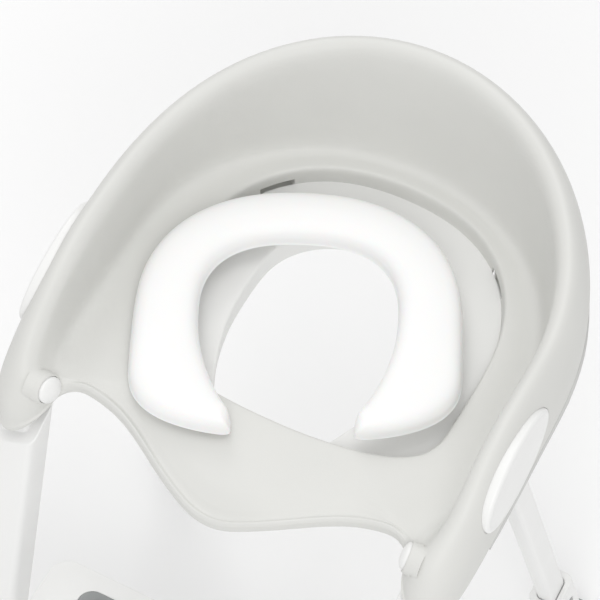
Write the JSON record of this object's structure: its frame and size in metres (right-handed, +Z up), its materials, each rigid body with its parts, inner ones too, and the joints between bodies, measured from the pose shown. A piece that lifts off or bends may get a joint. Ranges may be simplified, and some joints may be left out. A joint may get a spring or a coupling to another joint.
{
  "type": "potty training chair",
  "caption": "Child's toilet training chair: moulded seat shell with arms and a high back, loose horseshoe cushion, seat ring, and a folding step ladder with rear struts.",
  "frame": {"origin": "on the floor, under the middle of the chair's outer box", "axes": "+Z up, -Y to the front with the step, +X to the right of someone who faces the chair"},
  "size_m": [0.3922, 0.492, 0.5508],
  "materials": {
    "shell_plastic": "light warm grey, fine moulded texture",
    "ring_plastic": "very light grey, satin",
    "cover_plastic": "light grey, satin",
    "white_plastic": "white, satin",
    "cushion_foam": "white soft foam with a smooth closed skin",
    "grey_rubber": "soft grey grip rubber",
    "button_grey": "mid grey, satin",
    "steel": "plain drawn steel"
  },
  "bodies": {
    "seat": {"seat_shell": "shell_plastic", "seat_ring": "ring_plastic", "arm_cover_left": "cover_plastic", "arm_cover_right": "cover_plastic", "pivot_cap_left": "white_plastic", "pivot_cap_right": "white_plastic", "front_pivot_pin_left": "steel", "front_pivot_pin_right": "steel", "rear_pivot_pin_left": "steel", "rear_pivot_pin_right": "steel", "rim_pad_front_left": "grey_rubber", "rim_pad_front_right": "grey_rubber", "rim_pad_middle_left": "grey_rubber", "rim_pad_middle_right": "grey_rubber"},
    "cushion": {"cushion_base": "white_plastic", "cushion_pad": "cushion_foam"},
    "front_ladder": {"step_tread": "white_plastic", "step_grip": "grey_rubber", "front_leg_left": "white_plastic", "front_leg_right": "white_plastic", "step_screw_front_left": "steel", "step_screw_front_right": "steel", "step_screw_rear_left": "steel", "step_screw_rear_right": "steel"},
    "rear_strut_left": {"rear_leg_left": "white_plastic"},
    "rear_sleeve_left": {"rear_leg_sleeve_left": "white_plastic", "rear_foot_left": "grey_rubber"},
    "front_extension_left": {"front_leg_extension_left": "white_plastic", "front_foot_left": "grey_rubber"},
    "front_lock_left": {"front_lock_button_left": "button_grey"},
    "rear_lock_left": {"rear_lock_button_left": "button_grey"},
    "fold_release_left": {"fold_button_left": "white_plastic", "button_spring_left": "steel"},
    "rear_strut_right": {"rear_leg_right": "white_plastic"},
    "rear_sleeve_right": {"rear_leg_sleeve_right": "white_plastic", "rear_foot_right": "grey_rubber"},
    "front_extension_right": {"front_leg_extension_right": "white_plastic", "front_foot_right": "grey_rubber"},
    "front_lock_right": {"front_lock_button_right": "button_grey"},
    "rear_lock_right": {"rear_lock_button_right": "button_grey"},
    "fold_release_right": {"fold_button_right": "white_plastic", "button_spring_right": "steel"}
  },
  "joints": [
    {"name": "front_fold", "type": "hinge", "parent": "seat", "child": "front_ladder", "pos_m": [0, -0.1058, 0.437], "axis": [1, 0, 0], "range_deg": [0, 60]},
    {"name": "rear_fold_left", "type": "hinge", "parent": "seat", "child": "rear_strut_left", "pos_m": [0, -0.0188, 0.47], "axis": [1, 0, 0], "range_deg": [0, 29.4]},
    {"name": "front_height_left", "type": "slide", "parent": "front_ladder", "child": "front_extension_left", "axis": [0, -0.2706, -0.9627], "range_m": [0, 0.04]},
    {"name": "rear_height_left", "type": "slide", "parent": "rear_strut_left", "child": "rear_sleeve_left", "axis": [0, 0.3057, -0.9521], "range_m": [0, 0.04]},
    {"name": "front_lock_press_left", "type": "slide", "parent": "front_ladder", "child": "front_lock_left", "axis": [1, 0, 0], "range_m": [0, 0.0015], "stiffness_N_per_m": 600},
    {"name": "rear_lock_press_left", "type": "slide", "parent": "rear_sleeve_left", "child": "rear_lock_left", "axis": [1, 0, 0], "range_m": [0, 0.0015], "stiffness_N_per_m": 600},
    {"name": "fold_button_press_left", "type": "slide", "parent": "seat", "child": "fold_release_left", "axis": [-1, 0, 0], "range_m": [0, 0.003], "stiffness_N_per_m": 500, "deforming": ["button_spring_left"]},
    {"name": "rear_fold_right", "type": "hinge", "parent": "seat", "child": "rear_strut_right", "pos_m": [0, -0.0188, 0.47], "axis": [1, 0, 0], "range_deg": [0, 29.4]},
    {"name": "front_height_right", "type": "slide", "parent": "front_ladder", "child": "front_extension_right", "axis": [0, -0.2706, -0.9627], "range_m": [0, 0.04]},
    {"name": "rear_height_right", "type": "slide", "parent": "rear_strut_right", "child": "rear_sleeve_right", "axis": [0, 0.3057, -0.9521], "range_m": [0, 0.04]},
    {"name": "front_lock_press_right", "type": "slide", "parent": "front_ladder", "child": "front_lock_right", "axis": [-1, 0, 0], "range_m": [0, 0.0015], "stiffness_N_per_m": 600},
    {"name": "rear_lock_press_right", "type": "slide", "parent": "rear_sleeve_right", "child": "rear_lock_right", "axis": [-1, 0, 0], "range_m": [0, 0.0015], "stiffness_N_per_m": 600},
    {"name": "fold_button_press_right", "type": "slide", "parent": "seat", "child": "fold_release_right", "axis": [1, 0, 0], "range_m": [0, 0.003], "stiffness_N_per_m": 500, "deforming": ["button_spring_right"]},
    {"name": "cushion_lift", "type": "slide", "parent": "seat", "child": "cushion", "axis": [0, 0, 1], "range_m": [0, 0.12]}
  ],
  "couplings": [
    {"joint": "rear_fold_left", "follows": "front_fold", "ratio": 0.49},
    {"joint": "rear_fold_right", "follows": "front_fold", "ratio": 0.49}
  ]
}
